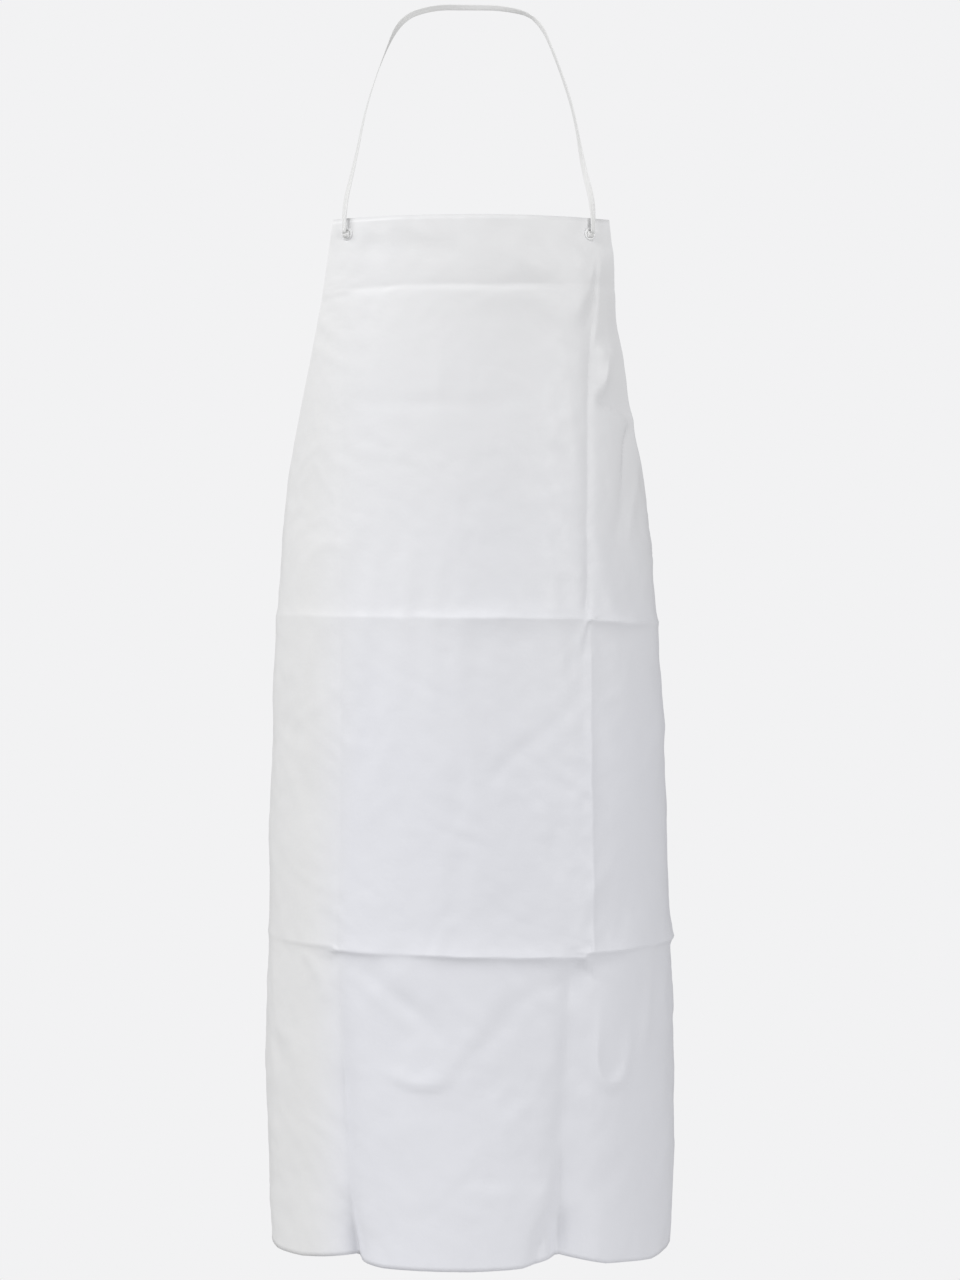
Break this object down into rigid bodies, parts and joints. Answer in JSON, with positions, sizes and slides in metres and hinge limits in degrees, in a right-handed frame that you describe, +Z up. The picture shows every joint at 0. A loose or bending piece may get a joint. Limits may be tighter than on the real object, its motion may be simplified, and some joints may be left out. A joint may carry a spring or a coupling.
{
  "type": "butcher apron",
  "caption": "Long wipe-clean bib apron: one coated sheet with armhole curves, a welded top strip, plastic eyelets at bib and waist, and a narrow neck loop knotted into the bib eyelets.",
  "frame": {"origin": "underside of the neck loop's middle, where it rests on the back of the wearer's neck", "axes": "+Z up, -Y towards the apron's front, +X to the viewer's right as the apron is seen from its front"},
  "size_m": [0.5232, 0.278, 1.5655],
  "materials": {
    "coated_sheet": "white wipe-clean vinyl-coated sheet, smooth, satin",
    "eyelet_plastic": "white moulded plastic, lightly glossy",
    "neck_tape": "off-white narrow woven tape, matt"
  },
  "bodies": {
    "apron": {"apron_panel": "coated_sheet", "bib_top_strip": "coated_sheet", "waist_patch_left": "coated_sheet", "waist_patch_right": "coated_sheet", "bib_eyelet_left": "eyelet_plastic", "bib_eyelet_right": "eyelet_plastic", "bib_washer_left": "eyelet_plastic", "bib_washer_right": "eyelet_plastic", "waist_eyelet_left": "eyelet_plastic", "waist_eyelet_right": "eyelet_plastic", "waist_washer_left": "eyelet_plastic", "waist_washer_right": "eyelet_plastic", "neck_knot_left": "neck_tape", "neck_knot_right": "neck_tape"},
    "neck_loop": {"neck_tape": "neck_tape"}
  },
  "joints": [
    {"name": "neck_loop_flip", "type": "hinge", "parent": "apron", "child": "neck_loop", "pos_m": [0, -0.1655, -0.31092], "axis": [1, 0, 0], "range_deg": [0, 170]}
  ]
}
